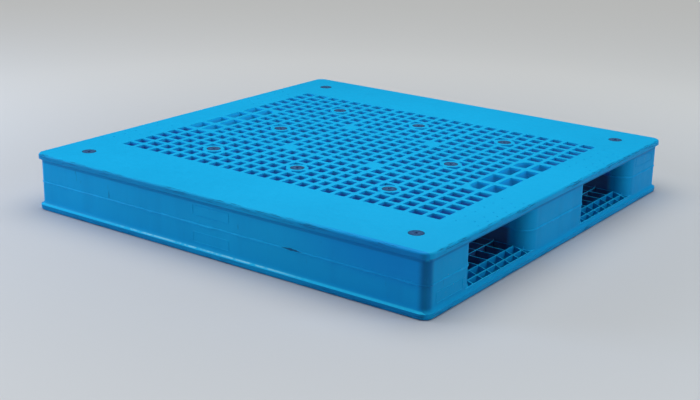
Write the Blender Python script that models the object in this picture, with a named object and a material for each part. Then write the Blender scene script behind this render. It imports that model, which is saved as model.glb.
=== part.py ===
"""Reversible plastic pallet: two identical mouldings welded at mid-height, with rubber grip plugs.

Metres, +Z up. The origin is at the centre of the footprint, on the ground. The fork tunnels run
along X. Each moulding is drawn deck face up, with its weld seam on z = 0; the lower one is the
upper one turned over about X.
"""
import math

import bmesh
import bpy

# Overall size
SIDE = 1.200                # length and width of the deck
HEIGHT = 0.150              # over both decks
HALF_HEIGHT = HEIGHT / 2
GAP = 0.0003                # clearance between touching pieces

# Rounded lip round each deck
CORNER_RADIUS = 0.026       # plan radius of the lip's corners
CORNER_STEPS = 4
EDGE_RADIUS = 0.006         # rolled edge between deck face and lip
EDGE_STEPS = 2
LIP_STRAIGHT = 0.014        # depth where the lip starts to run back to the wall
LIP_DEPTH = 0.023           # depth where it meets the wall
LIP_OVERHANG = 0.008        # how far it stands out from the wall

# Deck skin and ribs
SKIN = 0.006
RIB_DEPTH = 0.0345          # deck face to the inner edge of the ribs
BAR_HALF = 0.006            # half width of a bar on the deck face
RIB_HALF = 0.0015           # half thickness of the ribs round the blind pockets
WIDE_BAR_EXTRA = 0.003      # extra width on the inner side of the bars beside the stringers
LARGE_INSET = 0.0025        # openings of cells joined in pairs are this much shorter at each end
CELL_OVERSHOOT = 0.001      # how far a cutter runs past the faces that it opens

# Fork tunnels and stringers
TUNNEL_INNER = 0.154        # half width of the middle stringer
TUNNEL_OUTER = 0.402        # inner side of the outer stringers
WALL = SIDE / 2 - LIP_OVERHANG
STRINGER_RADIUS = 0.040     # rounding of the stringers' ends beside the tunnels
STRINGER_STEPS = 5
STRINGER_WALL = 0.006
MOUTH_DEPTH = LIP_DEPTH     # rib depth at the tunnel's mouth, where the ribs slope down to a sill
MOUTH_RIBS = (0.554, 0.575) # cross ribs on the slope
MOUTH_SILL = 0.002          # thickness of the mouth's sill at the wall
WEB_HALF = 0.0012           # half thickness of the webs inside the stringers
WEB_STEP = 2                # bars from one web to the next
HOLLOW_STEPS = 3

# Grip plugs
PLUG_RADIUS = 0.018
PLUG_DEPTH = 0.012
PLUG_STEPS = 12
RECESS_RADIUS = 0.005
RECESS_DEPTH = 0.003
RECESS_SIDES = 6
BOSS_RADIUS = 0.0285        # ring of plastic round an inner plug
BOSS_DEPTH = 0.018
CORNER_PLUG = 0.503         # distance of the corner plugs from both centre lines


def pitch_lines(*runs):
    """Distances of the bars' centre lines from the middle, from (pitch, count) runs."""
    lines = [0.0]
    for pitch, count in runs:
        for _ in range(count):
            lines.append(lines[-1] + pitch)
    return lines


BARS_X = pitch_lines((0.040, 2), (0.038, 1), (0.0365, 1), (0.0415, 6), (0.04825, 2))
BARS_Y = pitch_lines((0.040, 2), (0.038, 1), (0.0358, 1), (0.0412, 6))
WIDE_BAR = 4                # index of the bar beside the middle stringer, and of its match across it
PLUG_BAR = 7                # index of the bars that carry the inner plugs
LARGE_COLUMNS = (10, 11)    # cells of these columns are joined in pairs over the middle stringer
NARROW_CELL = 3             # row and column that are narrower, with no hole where they cross
FLAT_ANGLE = math.radians(0.05)     # faces within this angle count as one flat face
MERGE_DISTANCE = 0.0001             # points nearer than this count as one
SMOOTH_ANGLE = math.radians(35)     # edges sharper than this stay sharp


def remove_scene_objects():
    for item in list(bpy.data.objects):
        bpy.data.objects.remove(item, do_unlink=True)


def plastic(name, colour, roughness):
    material = bpy.data.materials.new(name)
    material.use_nodes = True
    shader = material.node_tree.nodes["Principled BSDF"]
    shader.inputs["Base Color"].default_value = (*colour, 1.0)
    shader.inputs["Roughness"].default_value = roughness
    shader.inputs["Metallic"].default_value = 0.0
    return material


def mesh_object(name, bm):
    bmesh.ops.recalc_face_normals(bm, faces=bm.faces)
    mesh = bpy.data.meshes.new(name)
    bm.to_mesh(mesh)
    bm.free()
    item = bpy.data.objects.new(name, mesh)
    bpy.context.scene.collection.objects.link(item)
    return item


def loft(bm, rings):
    """Closed body through rings of points that have the same count."""
    loops = [[bm.verts.new(point) for point in ring] for ring in rings]
    for lower, upper in zip(loops, loops[1:]):
        for i, start in enumerate(lower):
            j = (i + 1) % len(lower)
            bm.faces.new((start, lower[j], upper[j], upper[i]))
    bm.faces.new(reversed(loops[0]))
    bm.faces.new(loops[-1])


def depth_z(depth):
    """Height over the weld seam of a point at this depth below the deck face."""
    return HALF_HEIGHT - depth


def rounded_outline(x0, x1, y0, y1, radii, steps):
    """Counterclockwise outline; radii are those of the corners from (x0, y0) round to (x0, y1)."""
    corners = ((x0, y0, 1, 1, 180), (x1, y0, -1, 1, 270), (x1, y1, -1, -1, 0), (x0, y1, 1, -1, 90))
    points = []
    for (x, y, to_x, to_y, start), radius in zip(corners, radii):
        if radius == 0:
            points.append((x, y))
            continue
        for step in range(steps + 1):
            angle = math.radians(start + 90 * step / steps)
            points.append((x + to_x * radius + radius * math.cos(angle),
                           y + to_y * radius + radius * math.sin(angle)))
    return points


def prism(bm, outline, depth0, depth1):
    loft(bm, [[(x, y, depth_z(depth)) for x, y in outline] for depth in (depth0, depth1)])


def merge_flat_faces(mesh):
    """Merge neighbouring coplanar faces, and drop points along straight edges or close together."""
    bm = bmesh.new()
    bm.from_mesh(mesh)
    bmesh.ops.dissolve_limit(bm, angle_limit=FLAT_ANGLE, verts=bm.verts, edges=bm.edges)
    bmesh.ops.remove_doubles(bm, verts=bm.verts, dist=MERGE_DISTANCE)
    bm.to_mesh(mesh)
    bm.free()


def boolean(target, cutter, operation):
    """Apply an exact Boolean of the cutter to the target, and remove the cutter."""
    modifier = target.modifiers.new(operation.lower(), "BOOLEAN")
    modifier.operation = operation
    modifier.solver = "EXACT"
    modifier.object = cutter
    graph = bpy.context.evaluated_depsgraph_get()
    mesh = bpy.data.meshes.new_from_object(target.evaluated_get(graph))
    target.modifiers.clear()
    old = target.data
    target.data = mesh
    bpy.data.meshes.remove(old)
    merge_flat_faces(mesh)
    bpy.data.objects.remove(cutter, do_unlink=True)


def moulding_block():
    """The moulding's outer shape before it is hollowed: the lip on top of a straight wall."""
    profile = []
    for step in range(EDGE_STEPS + 1):
        angle = math.pi / 2 * step / EDGE_STEPS
        profile.append((EDGE_RADIUS * (1 - math.sin(angle)), EDGE_RADIUS * (1 - math.cos(angle))))
    profile += [(0, LIP_STRAIGHT), (LIP_OVERHANG, LIP_DEPTH), (LIP_OVERHANG, HALF_HEIGHT - GAP / 2)]
    rings = []
    for inset, depth in profile:
        half = SIDE / 2 - inset
        outline = rounded_outline(-half, half, -half, half, [CORNER_RADIUS - inset] * 4, CORNER_STEPS)
        rings.append([(x, y, depth_z(depth)) for x, y in outline])
    bm = bmesh.new()
    loft(bm, rings)
    return mesh_object("moulding", bm)


def bar(bars, index):
    """Centre line of a bar, counted from the middle; negative indices are on the negative side."""
    return math.copysign(bars[abs(index)], index)


def side_cell(cell):
    """Cell number on the positive side that a cell on either side mirrors."""
    return cell if cell >= 0 else -cell - 1


def opening(bars, first, last):
    """Span on the deck face of the opening that takes in cells first to last."""
    if first < 0:
        low, high = opening(bars, -last - 1, -first - 1)
        return -high, -low
    low, high = bars[first] + BAR_HALF, bars[last + 1] - BAR_HALF
    if last + 1 == WIDE_BAR:
        high -= WIDE_BAR_EXTRA
    if last > first:
        low, high = low + LARGE_INSET, high - LARGE_INSET
    return low, high


def cell_openings(column, first, last):
    """Corners on the deck face of the opening in a column that takes in rows first to last."""
    x0, x1 = opening(BARS_X, column, column)
    y0, y1 = opening(BARS_Y, first, last)
    return (x0, y0), (x1, y0), (x1, y1), (x0, y1)


def closed_cell(column, row):
    """Whether two narrow rows cross here, where the skin carries on over the cell."""
    return side_cell(column) == side_cell(row) == NARROW_CELL


def row_groups(column, first, last):
    """Pairs (first row, last row) of the cells that a column has between two bars."""
    joined = side_cell(column) in LARGE_COLUMNS and -WIDE_BAR <= first and last <= WIDE_BAR
    step = 2 if joined else 1
    return [(row, row + step - 1) for row in range(first, last, step)]


def waffle(bm, columns, rows, x_ends, y_ends, end_depth):
    """Cutter for one bay: a slab under the ribs, with a tapered plug on it for each deck cell.

    The plugs meet along the bars' centre lines, so that each rib narrows towards its inner edge.
    columns and rows are the first and last bars of the bay, x_ends and y_ends its true bounds.
    """
    def lines(bars, first_last, ends):
        inner = [bar(bars, index) for index in range(first_last[0] + 1, first_last[1])]
        return [ends[0], *inner, ends[1]]

    def vertex(x, y, depth):
        return bm.verts.new((x, y, depth_z(depth)))

    x_lines, y_lines = lines(BARS_X, columns, x_ends), lines(BARS_Y, rows, y_ends)
    root = [[vertex(x, y, RIB_DEPTH) for y in y_lines] for x in x_lines]
    for i, column in enumerate(range(*columns)):
        for first, last in row_groups(column, *rows):
            tip_depth = SKIN if closed_cell(column, first) else -CELL_OVERSHOOT
            reach = 1 - tip_depth / RIB_DEPTH
            j, k = first - rows[0], last - rows[0] + 1
            sides = ([root[i][j], root[i + 1][j]], root[i + 1][j:k + 1],
                     [root[i + 1][k], root[i][k]], root[i][j:k + 1][::-1])
            tips = []
            for side, (x, y) in zip(sides, cell_openings(column, first, last)):
                start = side[0].co
                tips.append(bm.verts.new(start.lerp((x, y, HALF_HEIGHT), reach)))
            for n, side in enumerate(sides):
                bm.faces.new((*side, tips[(n + 1) % 4], tips[n]))
            bm.faces.new(tips)
    rim = [line[0] for line in root] + root[-1][1:]
    rim += [line[-1] for line in root[-2::-1]] + root[0][-2:0:-1]
    base = [vertex(v.co.x, v.co.y, end_depth) for v in rim]
    for n, start in enumerate(rim):
        m = (n + 1) % len(rim)
        bm.faces.new((base[n], base[m], rim[m], start))
    bm.faces.new(base[::-1])


def mirrored(low, high, sign):
    """A span on one side of the middle, as an ordered pair on the side that sign gives."""
    return (low, high) if sign > 0 else (-high, -low)


def cut_bays(body):
    """The deck's openings and ribs, with the tunnels and the middle stringer's hollows under them."""
    end_depth = HALF_HEIGHT + CELL_OVERSHOOT
    stringer, tunnels = bmesh.new(), bmesh.new()
    last_bar = len(BARS_X) - 1
    for sign in (-1, 1):
        rows = mirrored(0, WIDE_BAR, sign)
        y_ends = mirrored(WEB_HALF, TUNNEL_INNER - STRINGER_WALL, sign)
        for first in range(-last_bar, last_bar, WEB_STEP):
            last = first + WEB_STEP
            x_ends = (bar(BARS_X, first) + WEB_HALF, bar(BARS_X, last) - WEB_HALF)
            waffle(stringer, (first, last), rows, x_ends, y_ends, end_depth)
        rows = mirrored(WIDE_BAR, len(BARS_Y) - 1, sign)
        y_ends = mirrored(TUNNEL_INNER, TUNNEL_OUTER, sign)
        waffle(tunnels, (-last_bar, last_bar), rows, (-BARS_X[-1], BARS_X[-1]), y_ends, end_depth)
    boolean(body, mesh_object("stringer_bays", stringer), "DIFFERENCE")
    boolean(body, mesh_object("tunnel_bays", tunnels), "DIFFERENCE")


def cut_tunnel_mouths(body):
    """Each tunnel from the last rib to the open air: flared at the sides, sloping at the ribs."""
    bm = bmesh.new()
    centre = WALL - STRINGER_RADIUS
    slope = (RIB_DEPTH - MOUTH_DEPTH) / STRINGER_RADIUS
    sections = [(BARS_X[-1], 0.0)]
    for step in range(STRINGER_STEPS + 1):
        angle = math.pi / 2 * step / STRINGER_STEPS
        flare = STRINGER_RADIUS * (1 - math.cos(angle))
        sections.append((centre + STRINGER_RADIUS * math.sin(angle), flare))
    sections.append((SIDE / 2 + CELL_OVERSHOOT, STRINGER_RADIUS))
    bottom = depth_z(HALF_HEIGHT + CELL_OVERSHOOT)
    for x_sign in (-1, 1):
        for y_sign in (-1, 1):
            rings = []
            for x, flare in sections:
                top = depth_z(max(MOUTH_DEPTH, RIB_DEPTH - slope * max(0.0, x - centre)))
                y0, y1 = mirrored(TUNNEL_INNER - flare, TUNNEL_OUTER + flare, y_sign)
                rings.append([(x_sign * x, y, z) for y, z in
                              ((y0, bottom), (y1, bottom), (y1, top), (y0, top))])
            loft(bm, rings)
    boolean(body, mesh_object("tunnel_mouths", bm), "DIFFERENCE")


def cut_blind_hollows(body):
    """Hollows under the deck's plain bands, open at the weld seam, with webs left between them."""
    bm = bmesh.new()
    side = TUNNEL_OUTER + STRINGER_WALL
    inner = TUNNEL_INNER - STRINGER_WALL
    end = WALL - STRINGER_WALL
    end_depth = HALF_HEIGHT + CELL_OVERSHOOT
    beside_tunnel = STRINGER_RADIUS - STRINGER_WALL
    outer_corner = CORNER_RADIUS - LIP_OVERHANG - STRINGER_WALL
    end_cells = ((WEB_HALF, inner, 0.0, beside_tunnel), (side, end, beside_tunnel, outer_corner))
    last_bar = len(BARS_X) - 1
    for y_sign in (-1, 1):
        for first in range(-last_bar, last_bar, WEB_STEP):
            x0 = bar(BARS_X, first) + WEB_HALF
            x1 = bar(BARS_X, first + WEB_STEP) - WEB_HALF
            y0, y1 = mirrored(side, end, y_sign)
            prism(bm, ((x0, y0), (x1, y0), (x1, y1), (x0, y1)), SKIN, end_depth)
        for x_sign in (-1, 1):
            x0, x1 = mirrored(BARS_X[-1] + RIB_HALF, end, x_sign)
            for near, far, near_radius, far_radius in end_cells:
                y0, y1 = mirrored(near, far, y_sign)
                low, high = mirrored(near_radius, far_radius, y_sign)
                radii = (0, abs(low), abs(high), 0) if x_sign > 0 else (abs(low), 0, 0, abs(high))
                prism(bm, rounded_outline(x0, x1, y0, y1, radii, HOLLOW_STEPS), SKIN, end_depth)
    boolean(body, mesh_object("hollows", bm), "DIFFERENCE")


def cut_mouth_pockets(body):
    """Rows of blind pockets between the ribs behind each end of a tunnel."""
    bm = bmesh.new()
    ribs = (BARS_X[-1], *MOUTH_RIBS, WALL - MOUTH_SILL + RIB_HALF)
    for x_sign in (-1, 1):
        for y_sign in (-1, 1):
            for low, high in zip(BARS_Y[WIDE_BAR:], BARS_Y[WIDE_BAR + 1:]):
                y0, y1 = mirrored(low + RIB_HALF, high - RIB_HALF, y_sign)
                for first, last in zip(ribs, ribs[1:]):
                    x0, x1 = mirrored(first + RIB_HALF, last - RIB_HALF, x_sign)
                    outline = ((x0, y0), (x1, y0), (x1, y1), (x0, y1))
                    prism(bm, outline, SKIN, RIB_DEPTH + CELL_OVERSHOOT)
    boolean(body, mesh_object("mouth_pockets", bm), "DIFFERENCE")


def circle(x, y, radius, steps):
    """Polygon with a flat side facing +X."""
    angles = [math.tau * (i + 0.5) / steps for i in range(steps)]
    return [(x + radius * math.cos(angle), y + radius * math.sin(angle)) for angle in angles]


def inner_plug_places():
    x, y = BARS_X[PLUG_BAR], BARS_Y[PLUG_BAR]
    return [(i * x, j * y) for j in (-1, 0, 1) for i in (-1, 0, 1) if (i, j) != (0, 0)]


def plug_places():
    corners = [(i * CORNER_PLUG, j * CORNER_PLUG) for j in (-1, 1) for i in (-1, 1)]
    return corners + inner_plug_places()


def add_plug_seats(body):
    """Round bosses on the bars' crossings, and the socket of every plug."""
    bosses, sockets = bmesh.new(), bmesh.new()
    for x, y in inner_plug_places():
        prism(bosses, circle(x, y, BOSS_RADIUS, PLUG_STEPS), 0.0, BOSS_DEPTH)
    for x, y in plug_places():
        outline = circle(x, y, PLUG_RADIUS + GAP, PLUG_STEPS)
        prism(sockets, outline, -CELL_OVERSHOOT, PLUG_DEPTH + GAP)
    boolean(body, mesh_object("bosses", bosses), "UNION")
    boolean(body, mesh_object("sockets", sockets), "DIFFERENCE")


def finished(item):
    """Smooth the item's shading over its curves, and hand over its mesh without the object."""
    mesh = item.data
    bpy.data.objects.remove(item, do_unlink=True)
    mesh.shade_smooth()
    mesh.set_sharp_from_angle(angle=SMOOTH_ANGLE)
    return mesh


def moulding_mesh():
    body = moulding_block()
    cut_bays(body)
    cut_tunnel_mouths(body)
    cut_blind_hollows(body)
    cut_mouth_pockets(body)
    add_plug_seats(body)
    return finished(body)


def plug_mesh():
    """Rubber plug with a six-sided recess in its face; its face is on z = 0."""
    bm = bmesh.new()
    bottom, top = ([bm.verts.new((x, y, z)) for x, y in circle(0, 0, PLUG_RADIUS, PLUG_STEPS)]
                   for z in (-PLUG_DEPTH, 0.0))
    rim, floor = ([bm.verts.new((x, y, z)) for x, y in circle(0, 0, RECESS_RADIUS, RECESS_SIDES)]
                  for z in (0.0, -RECESS_DEPTH))
    bm.faces.new(bottom[::-1])
    bm.faces.new(floor)
    for lower, upper in ((bottom, top), (rim, floor)):
        for i, start in enumerate(lower):
            j = (i + 1) % len(lower)
            bm.faces.new((start, lower[j], upper[j], upper[i]))
    edges = [bm.edges.get((ring[i - 1], ring[i])) for ring in (top, rim) for i in range(len(ring))]
    bmesh.ops.bridge_loops(bm, edges=edges)
    return finished(mesh_object("plug", bm))


def place(name, mesh, parent, location=(0.0, 0.0, 0.0)):
    item = bpy.data.objects.new(name, mesh)
    item.parent = parent
    item.location = location
    bpy.context.scene.collection.objects.link(item)


def add_half(side, moulding, plug, turn):
    """One moulding with its plugs, turned about X on the weld seam."""
    frame = bpy.data.objects.new(side + "_frame", None)
    frame.location = (0.0, 0.0, HALF_HEIGHT)
    frame.rotation_euler = (turn, 0.0, 0.0)
    bpy.context.scene.collection.objects.link(frame)
    place(side + "_moulding", moulding, frame)
    for number, (x, y) in enumerate(plug_places(), 1):
        place(f"{side}_grip_plug_{number:02d}", plug, frame, (x, y, HALF_HEIGHT))


def build_pallet():
    remove_scene_objects()
    moulding = moulding_mesh()
    moulding.materials.append(plastic("blue_polyethylene", (0.009, 0.41, 0.79), 0.42))
    plug = plug_mesh()
    plug.materials.append(plastic("grey_rubber", (0.045, 0.09, 0.22), 0.75))
    add_half("upper", moulding, plug, 0.0)
    add_half("lower", moulding, plug, math.pi)


build_pallet()
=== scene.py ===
"""Looks of the plastic pallet: two finely moulded halves, their grip plugs and the weld between them.

Metres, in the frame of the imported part: +Z up, fork tunnels along X, origin on the ground. Each half
is drawn deck face up with the weld seam on z = 0, and depths are measured down from its deck face.
"""

import math

import bmesh
import bpy
from mathutils import Matrix, Vector, noise


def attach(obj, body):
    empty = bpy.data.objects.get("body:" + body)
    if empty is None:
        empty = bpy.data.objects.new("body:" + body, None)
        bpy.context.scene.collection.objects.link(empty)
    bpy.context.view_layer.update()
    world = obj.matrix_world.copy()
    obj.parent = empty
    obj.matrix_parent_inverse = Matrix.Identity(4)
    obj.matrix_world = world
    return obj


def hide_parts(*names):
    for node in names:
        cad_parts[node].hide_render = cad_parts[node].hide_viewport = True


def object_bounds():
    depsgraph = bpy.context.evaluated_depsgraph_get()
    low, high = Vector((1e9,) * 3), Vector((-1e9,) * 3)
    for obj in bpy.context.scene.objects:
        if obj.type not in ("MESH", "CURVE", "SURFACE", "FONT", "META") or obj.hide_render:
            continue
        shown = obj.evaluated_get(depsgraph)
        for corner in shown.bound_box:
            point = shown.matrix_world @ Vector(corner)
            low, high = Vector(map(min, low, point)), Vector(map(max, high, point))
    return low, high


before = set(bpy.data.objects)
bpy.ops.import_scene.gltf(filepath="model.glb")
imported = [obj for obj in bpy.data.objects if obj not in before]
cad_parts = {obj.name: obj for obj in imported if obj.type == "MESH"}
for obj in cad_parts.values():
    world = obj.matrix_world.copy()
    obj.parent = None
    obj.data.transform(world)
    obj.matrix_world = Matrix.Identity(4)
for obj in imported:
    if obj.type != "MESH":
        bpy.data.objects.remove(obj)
CAD_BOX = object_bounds()

# Overall size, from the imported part
SIDE = CAD_BOX[1].x - CAD_BOX[0].x
HEIGHT = CAD_BOX[1].z - CAD_BOX[0].z
HALF_HEIGHT = HEIGHT / 2
GAP = 0.0003                # clearance between touching pieces

# Rounded lip round each deck
CORNER_RADIUS = 0.026
CORNER_STEPS = 8
EDGE_RADIUS = 0.006
EDGE_STEPS = 6
LIP_STRAIGHT = 0.014        # depth at which the hollow curve back to the wall starts
LIP_DEPTH = 0.023           # depth at which it meets the wall
LIP_OVERHANG = 0.008
FILLET_STEPS = 6            # in the hollow curve
WALL = SIDE / 2 - LIP_OVERHANG

# Deck skin, holes and ribs
SKIN = 0.006
COLLAR = 0.014              # depth of the holes' straight walls, over the thin ribs
RIB_DEPTH = 0.0345
BAR_HALF = 0.006            # half the width of the deck's bars, which the thin ribs hang from
RIB_HALF = 0.0015
OVERSHOOT = 0.001           # how far a cutter runs past the faces that it opens
HOLE_EDGE = 0.0012          # rounding of a hole's upper edge
RIM_STEPS = 3
HOLE_CORNER = 0.003         # rounding of a hole's corners in plan
HOLE_CORNER_STEPS = 3
BOSS_STEPS = 8
WIDE_BAR_EXTRA = 0.003      # the bars numbered WIDE_BAR are this much wider on their inner side
LARGE_INSET = 0.0025        # the joined cells' openings are this much shorter at each end
LARGE_TAPER = 0.60          # their width at the bottom, as a share of that at the top
LARGE_CORNER = 0.030        # the one wide corner of the joined cells of LARGE_CORNER_COLUMN

# Fork tunnels and stringers
TUNNEL_INNER = 0.154
TUNNEL_OUTER = 0.402
STRINGER_RADIUS = 0.040     # of the stringers' corners beside the tunnels
STRINGER_STEPS = 12
STRINGER_WALL = 0.006
MOUTH_DEPTH = LIP_DEPTH
MOUTH_RIBS = (0.554, 0.575)
MOUTH_SILL = 0.002
WEB_HALF = 0.0012
WEB_STEP = 2                # a web in the stringers under every second bar

# Grip plugs
PLUG_RADIUS = 0.018
PLUG_DEPTH = 0.012
SOCKET_STEPS = 48
BOSS_RADIUS = 0.0285
BOSS_DEPTH = 0.018
BOSS_STEP = 0.0005          # the boss under the skin is this much smaller
CORNER_PLUG = 0.503         # distance of the corner plugs from the middle, along X and along Y
SOCKET_EDGE = 0.0007
PLUG_EDGE = 0.0008
PLUG_EDGE_STEPS = 4
RECESS_RADIUS = 0.003
RECESS_DEPTH = 0.003
RECESS_FLOOR = 0.75         # radius of the recess's flat floor, as a share of its own
RECESS_WALL = 0.8           # depth at which its wall ends, as a share of its own
RECESS_EDGE = (0.0005, 0.0004)  # width and depth of the slant round it

# Small features
FLARE_LAND = 0.002          # between a flare pocket and the stringer's rounded corner
FLARE_STEPS = 5
GUSSETS = (0.010, 0.007)    # radii of the gussets on the last bar and on the last cross rib
GUSSET_STEPS = 6
GUSSET_HALF = 0.0013
DOT_COLUMNS = (0.527, 0.563, 0.584)
DOT_RADIUS = 0.0025
DOT_DEPTH = 0.0006
DOT_STEPS = 12
DOT_SHIFTS = (0.5, 1.0)     # place of the dots between two bars, by turns from column to column
PLATE = (-0.060, 0.050, 0.0300, 0.0545)     # blank plate on the sides: span along X, span of depth
END_PLATE = (0.450, 0.556, 0.0275, 0.0520)  # the one on one stringer's end: span along Y, of depth
PLATE_CORNER = 0.003
PLATE_LINE = 0.0007         # half width of the raised line round a plate
PLATE_RAISED = 0.0006
SHARP_ANGLE = 40            # degrees between faces from which an edge is shaded sharp
FLAT_WEIGHT = 100           # how much the large faces rule the shading of the small ones

# Weld bead
BEAD_STEP = 0.004           # between its sections
BEAD_PROFILE = ((0.0, -1.0), (0.7, -0.9), (1.0, -0.55), (0.85, -0.05), (0.45, 0.55), (0.0, 1.0))
BEAD_REACH = 0.0022         # how far the profile's 1 stands out
BEAD_HALF = 0.0024          # how high its 1 is over the seam
BEAD_SUNK = 0.0004
BEAD_WAVES = 28.0           # scale of the noise that makes the bead uneven, before that of a layer
BEAD_SWELL = ((1.0, (0, 0, 0), 0.45), (3.1, (0, 0, 0), 0.30))   # layers as (scale, shift, share)
BEAD_LIFT = ((0.6, (7, 3, 1), 0.55), (4.0, (0, 0, 0), 0.20))

# Colours and gloss
BLUE_DARK = (0.004, 0.375, 0.725)
BLUE_LIGHT = (0.005, 0.400, 0.765)
BLUE_PALE = (0.007, 0.420, 0.785)
# Deeper blue of the bands on the walls; also painted shade on the lower ribs' ends in the tunnels
BLUE_DEEP = (0.003, 0.270, 0.600)
# Painted shade on the front side, darker and bluer towards +X
FRONT_SHADE_BLUE = (0.003, 0.245, 0.700)
# Painted light and shade inside: lighter hole walls and joined cells, darker deep in the holes and inside
LIT_HOLE_BLUE = (0.012, 0.520, 0.970)
SHADED_HOLE_BLUE = (0.055, 0.230, 0.760)
LIT_JOINED_BLUE = (0.022, 0.390, 0.780)
SHADED_INNER_BLUE = (0.060, 0.140, 0.300)
# Painted shade: on one corner, on the long sides' lips and under the upper lip
SHADOW_BLUE = (0.004, 0.135, 0.370)
# Painted light: the weld beads' lighter copy of the blue plastic
LIT_BEAD_DARK = (0.006, 0.430, 0.820)
LIT_BEAD_LIGHT = (0.009, 0.480, 0.880)
# Painted highlight on the lower lip and on the lower ribs' ends by the mouths
HIGHLIGHT = (0.020, 0.640, 1.000)
SCUFF = (0.006, 0.060, 0.170)
# Painted highlight: a thin pale line along the lower lip
GLINT = (0.400, 0.860, 1.000)
SPECK = (0.170, 0.420, 0.640)
RUBBER_DARK = (0.009, 0.036, 0.120)
RUBBER_MID = (0.018, 0.088, 0.240)
RUBBER_LIGHT = (0.050, 0.155, 0.330)
# The floor's colour under and round the pallet is painted shade
FLOOR_SHADE_COLOUR = (0.500, 0.525, 0.575)
FLOOR_PALE = (0.800, 0.805, 0.815)
PLASTIC_SPECULAR = 0.07
RUBBER_SPECULAR = 0.12
FLOOR_SPECULAR = 0.1
FLOOR_ROUGHNESS = 0.9
PLASTIC_ROUGHNESS = (0.44, 0.54)
SCUFF_ROUGHNESS = 0.2       # added where the plastic is scuffed
GLINT_POLISH = 0.15        # taken off along the painted highlight line
RUBBER_ROUGHNESS = (0.85, 0.6)      # away from the rim and on it

# Studio
FLOOR_SIZE = 60.0
FLOOR_SUNK = 0.0002         # keeps the floor clear of the lower deck's face
FLOOR_NEAR = 0.5            # painted shade: the floor is darker up to here, and pale from FLOOR_FAR
FLOOR_FAR = 2.0
SKY_COLOUR = (1.0, 0.99, 0.94)
HORIZON = 0.03              # strength of the overhead light up to SKY_LOW
ZENITH = 1.2                # and from SKY_HIGH, which like SKY_LOW is the rise of a direction
SKY_LOW = 0.5
SKY_HIGH = 0.95
SOFTBOXES = (               # name, place, target, size, power, colour
    ("left_softbox", (-2.8, -2.1, 1.05), (0, -0.3, 0.05), (1.6, 1.0), 56, (0.53, 0.70, 1.0)),
    ("right_softbox", (4.1, 1.6, 1.6), (0.3, 0, 0.05), (1.6, 1.0), 44, (0.38, 0.67, 1.0)),
    ("top_softbox", (0, 0, 1.5), (0, 0, 0), (1.6, 1.6), 13, (1.0, 0.98, 0.90)),
)
CAMERA_PLACE = (1.8433, -2.6032, 1.0171)
CAMERA_FORWARD = (-0.5397, 0.7849, -0.3045)
CAMERA_RIGHT = (0.8192, 0.5730, 0.0251)
CAMERA_LENS = 63.56
CAMERA_SHIFT = -0.03857
CAMERA_SENSOR = 36


def pitch_lines(*runs):
    """Distances of the bars' centre lines from the middle, from (pitch, count) runs."""
    lines = [0.0]
    for pitch, count in runs:
        for _ in range(count):
            lines.append(lines[-1] + pitch)
    return lines


BARS_X = pitch_lines((0.040, 2), (0.038, 1), (0.0365, 1), (0.0415, 6), (0.04825, 2))
BARS_Y = pitch_lines((0.040, 2), (0.038, 1), (0.0358, 1), (0.0412, 6))
LAST_X, LAST_Y = len(BARS_X) - 1, len(BARS_Y) - 1
WIDE_BAR = 4                # along Y this bar lies over the side of the middle stringer
PLUG_BAR = 7                # number of the bars that carry the inner plugs
LARGE_COLUMNS = (10, 11)    # columns whose cells over the middle stringer are joined in pairs
LARGE_CORNER_COLUMN = 10
NARROW_CELL = 3             # there is no hole where this column and this row cross

# Where the marks on the blue plastic lie. Each span is where a mask fades in, or out where the span
# runs backwards. Depth counts from the nearer deck face. Reach is the distance from the middle along
# X or along Y, whichever is larger.
SEAM_Z = (HALF_HEIGHT - 0.002, HALF_HEIGHT + 0.002)
LOW_TO_HIGH_Z = (HALF_HEIGHT * 0.6, HALF_HEIGHT * 1.3)
FRONT_Y = (-WALL + 0.003, -WALL + 0.001)
WALL_REACH = (WALL - 0.003, WALL - 0.001)
WALL_DEPTH = (LIP_DEPTH, LIP_DEPTH + 0.004)
ENDS_X = (WALL - 0.002, WALL - 0.001)

# Spans of the painted light and shade in the holes and the tunnels
HOLES_REACH = (0.548, 0.530)
RIM_DEPTH = (0.0006, 0.0015)
CORE_DEPTH = (0.0025, 0.0090)
JOINED_X = (0.400, 0.404)
JOINED_Y = (0.158, 0.154)
INNER_REACH = (0.555, 0.475)
RIB_FOOT_DEPTH = (RIB_DEPTH - 0.008, RIB_DEPTH)
LOWER_INNER_DEPTH = (0.008, 0.016)
LEDGE_SPAN = (0.0012, 0.0006)               # distance in depth from the ribs' ends
TREAD_NORMAL = (0.6, 0.85)                  # Z of the surface's normal
TREAD_DEPTH = (LIP_DEPTH - 0.003, LIP_DEPTH - 0.001)
TREAD_REACH = (BARS_X[-1] - 0.006, BARS_X[-1] - 0.002)

# Painted shade on the front side and on its corner with the +X side
FRONT_SHADE_X = (0.15, 0.50)
FRONT_SHADE_SHARES = (0.35, 0.7)                   # on the lower and on the upper half
CORNER_SHADE_SPAN = (2 * WALL - 0.028, 2 * WALL - 0.010)      # of x - y
CORNER_SHADE_DEPTH = (LIP_STRAIGHT, LIP_DEPTH + 0.002)
CORNER_SHADE_SHARES = (0.75, 0.9)                 # on the lower and on the upper half
EDGE_REACH = (SIDE / 2 - EDGE_RADIUS, SIDE / 2 - EDGE_RADIUS / 3)
EDGE_DEPTH = (LIP_STRAIGHT, LIP_STRAIGHT / 2)
# Painted shade on the faces of the long sides' lips
LIP_SHADE_TOP = (0.0015, 0.006)
LIP_SHADE_BOTTOM = (LIP_STRAIGHT + 0.003, LIP_STRAIGHT)
LIP_SHADE_Y = (SIDE / 2 - 0.008, SIDE / 2 - 0.001)
LIP_SHADE_LEAST = 0.08                        # x at which a long side's lip has the least painted shade
LIP_SHADE_X = (0.0, 0.35)                     # distance from there
LIP_SHADE_SHARES = (0.15, 0.45)
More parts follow.
